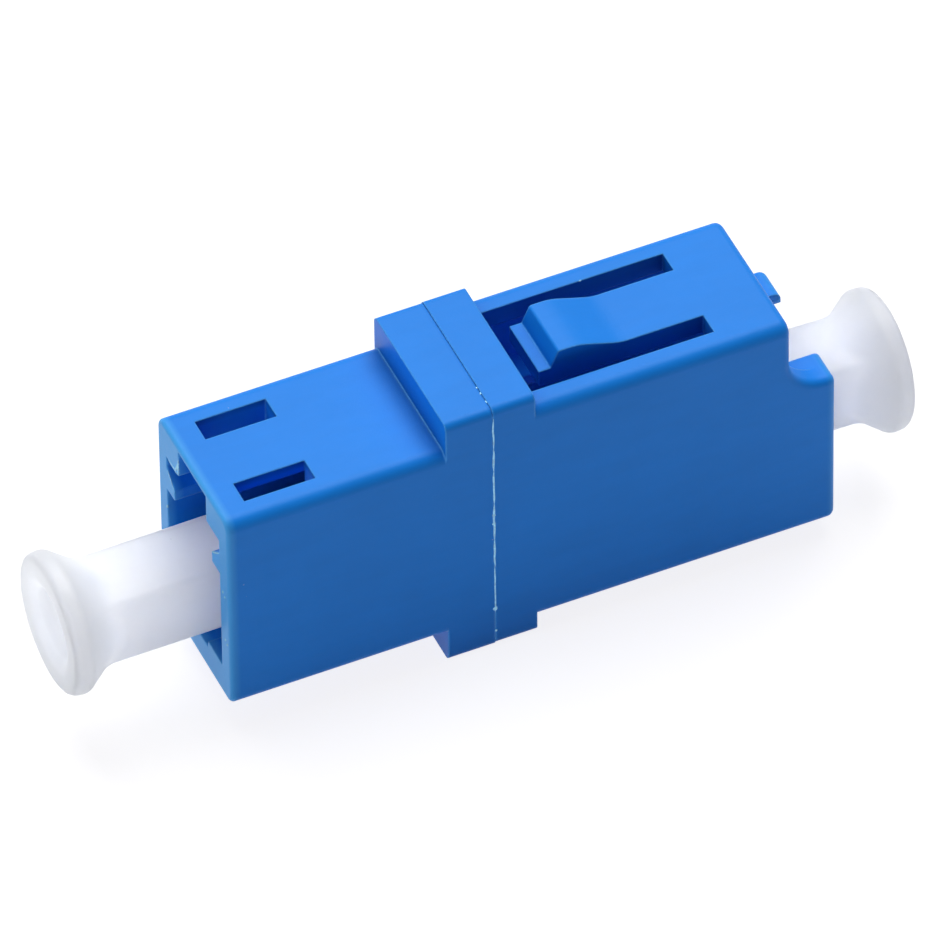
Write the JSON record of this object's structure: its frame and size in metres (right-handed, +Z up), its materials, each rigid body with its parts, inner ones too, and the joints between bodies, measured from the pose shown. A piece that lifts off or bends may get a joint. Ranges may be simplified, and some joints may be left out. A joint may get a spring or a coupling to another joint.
{
  "type": "lc fibre adapter",
  "caption": "Blue single-fibre adapter with a square-bodied port at each end, a mid flange, a top snap latch and white pull-off dust caps.",
  "frame": {"origin": "on the optical axis, at the middle of the split sleeve, where two ferrules meet", "axes": "+X along the optical axis towards the half with the snap latch, +Z up through the latch, Y across the width"},
  "size_m": [0.0341, 0.0064, 0.0124],
  "materials": {
    "blue_plastic": "glossy moulded blue PBT",
    "cap_plastic": "soft translucent white polyethylene",
    "zirconia": "polished white zirconia"
  },
  "bodies": {
    "housing": {"front_housing": "blue_plastic", "rear_housing": "blue_plastic", "split_sleeve": "zirconia"},
    "front_cap": {"front_dust_cap": "cap_plastic"},
    "rear_cap": {"rear_dust_cap": "cap_plastic"}
  },
  "joints": [
    {"name": "front_cap_pull", "type": "slide", "parent": "housing", "child": "front_cap", "axis": [-1, 0, 0], "range_m": [0, 0.009]},
    {"name": "rear_cap_pull", "type": "slide", "parent": "housing", "child": "rear_cap", "axis": [1, 0, 0], "range_m": [0, 0.011]}
  ]
}
